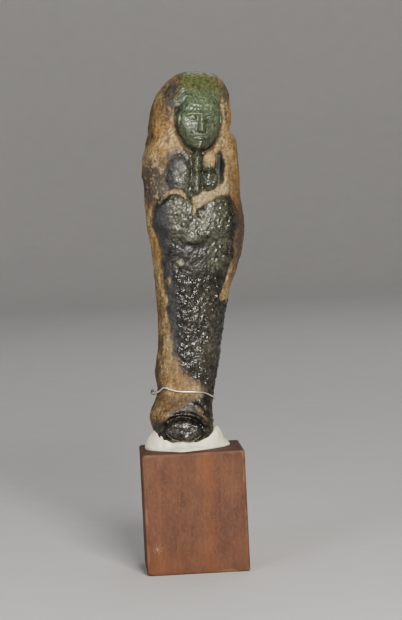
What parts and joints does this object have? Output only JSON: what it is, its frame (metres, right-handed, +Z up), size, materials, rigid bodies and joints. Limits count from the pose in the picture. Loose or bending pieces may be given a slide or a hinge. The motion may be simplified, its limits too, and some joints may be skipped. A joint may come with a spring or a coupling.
{
  "type": "ushabti figurine on a wooden block",
  "caption": "Small mummiform ushabti figurine with crossed arms and dark, pitted glaze, set in putty on a square wooden block, with a thin wire round its ankles.",
  "frame": {"origin": "centre of the wooden block's underside", "axes": "+Z up from the block to the figure's head, -Y the way the figure faces, +X to the right of someone who looks at its front"},
  "size_m": [0.0292, 0.0258, 0.1257],
  "materials": {
    "faience": "dark pitted glaze, worn to the tan body on the flanks, green on the head",
    "putty": "matt cream modelling putty",
    "mahogany": "satin red-brown wood, a little worn at the edges",
    "wire": "bright thin wire"
  },
  "bodies": {
    "root": {"figurine": "faience", "putty_seat": "putty", "wooden_block": "mahogany", "ankle_wire": "wire"}
  },
  "joints": []
}
